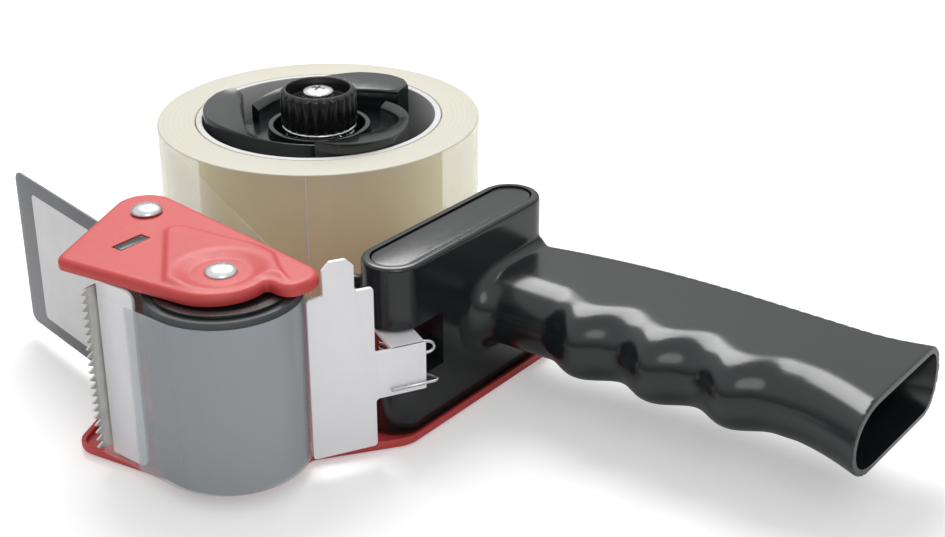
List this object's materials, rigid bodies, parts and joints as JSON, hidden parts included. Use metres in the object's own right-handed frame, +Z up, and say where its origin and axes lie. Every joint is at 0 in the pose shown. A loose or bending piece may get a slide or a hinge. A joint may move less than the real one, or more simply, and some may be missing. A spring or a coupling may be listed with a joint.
{
  "type": "packing tape dispenser",
  "caption": "Hand-held packing tape dispenser lying on its side: tape roll on a braked hub, roller, toothed blade, wiper flap, sprung gate and a pistol grip.",
  "frame": {"origin": "on the resting face of the side plate, at the middle of the overall footprint", "axes": "+X along the grip to its open end, +Y from the roller to the tape roll, +Z up from the side plate to the knob"},
  "size_m": [0.2674, 0.1872, 0.0622],
  "materials": {
    "red_paint": "gloss enamel on pressed steel",
    "steel": "zinc plated",
    "polished_steel": "bright nickel",
    "blade_steel": "ground steel",
    "black_plastic": "moulded, glossy",
    "grey_plastic": "stiff sheet, satin",
    "rubber": "matt",
    "tape_film": "wound clear film",
    "core_card": "wound card"
  },
  "bodies": {
    "frame": {"side_plate": "red_paint", "cheek_plate": "red_paint", "roller_axle": "steel", "rear_spacer": "steel", "guide_plate": "polished_steel", "cutting_blade": "blade_steel", "flap_holder": "black_plastic", "wiper_flap": "grey_plastic", "tape_strand": "tape_film", "hub_stud": "steel", "knob_screw": "polished_steel", "friction_washer": "steel", "spring_seat_washer": "steel", "handle_body": "black_plastic", "handle_lid": "black_plastic", "handle_screw_1": "steel", "handle_screw_2": "steel", "gate_pin": "steel"},
    "hub": {"hub_core": "black_plastic", "hub_flange": "black_plastic", "hub_vanes": "black_plastic", "tape_core": "core_card", "tape_roll": "tape_film"},
    "roller": {"roller_core": "black_plastic", "roller_sleeve": "rubber", "roller_end_cap_top": "black_plastic", "roller_end_cap_bottom": "black_plastic"},
    "gate": {"gate_plate": "polished_steel", "gate_spring": "steel"},
    "brake": {"pressure_washer": "steel", "hub_spring": "steel"},
    "knob": {"tension_knob": "black_plastic"}
  },
  "joints": [
    {"name": "hub_spin", "type": "hinge", "parent": "frame", "child": "hub", "pos_m": [-0.0813, 0.04115, 0], "axis": [0, 0, 1], "continuous": true},
    {"name": "roller_spin", "type": "hinge", "parent": "frame", "child": "roller", "pos_m": [-0.0128, -0.07095, 0], "axis": [0, 0, 1], "continuous": true},
    {"name": "gate_swing", "type": "hinge", "parent": "frame", "child": "gate", "pos_m": [0.0087, -0.03035, 0], "axis": [0, 0, 1], "range_deg": [0, 25], "stiffness_Nm_per_rad": 0.05, "springref_deg": -11.46},
    {"name": "tension_travel", "type": "slide", "parent": "frame", "child": "brake", "axis": [0, 0, 1], "range_m": [-0.001, 0.001], "deforming": ["hub_spring"]},
    {"name": "tension_turn", "type": "hinge", "parent": "brake", "child": "knob", "pos_m": [-0.0813, 0.04115, 0], "axis": [0, 0, 1], "range_deg": [-360, 360]}
  ],
  "couplings": [
    {"joint": "roller_spin", "follows": "hub_spin", "ratio": -2.5561},
    {"joint": "tension_travel", "follows": "tension_turn", "m_per_rad": 0.00015915}
  ]
}
